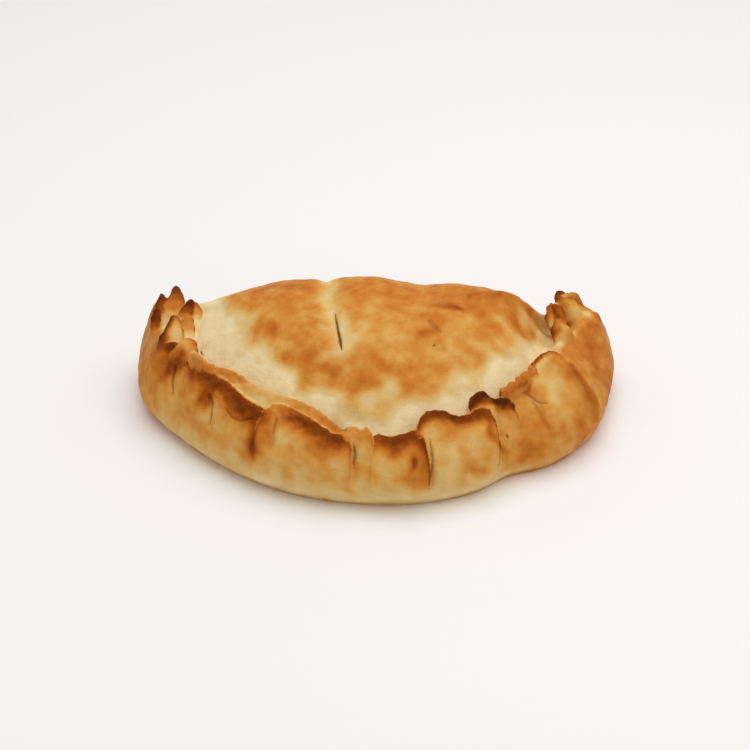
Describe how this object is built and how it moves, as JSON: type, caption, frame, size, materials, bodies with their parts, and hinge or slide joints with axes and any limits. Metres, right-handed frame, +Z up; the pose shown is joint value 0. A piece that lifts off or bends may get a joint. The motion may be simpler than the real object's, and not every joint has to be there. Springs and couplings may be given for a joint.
{
  "type": "vegetable calzone",
  "caption": "Baked half-moon calzone with a puffed golden top and a crimped rim folded up round the front.",
  "frame": {"origin": "on the surface that the calzone rests on, under the middle of its outline", "axes": "+X along its length to the right end, +Y from the crimped front to the folded back, +Z up"},
  "size_m": [0.2076, 0.1169, 0.0525],
  "materials": {
    "crust": "baked dough, matt with browned patches"
  },
  "bodies": {
    "root": {"calzone": "crust"}
  },
  "joints": []
}
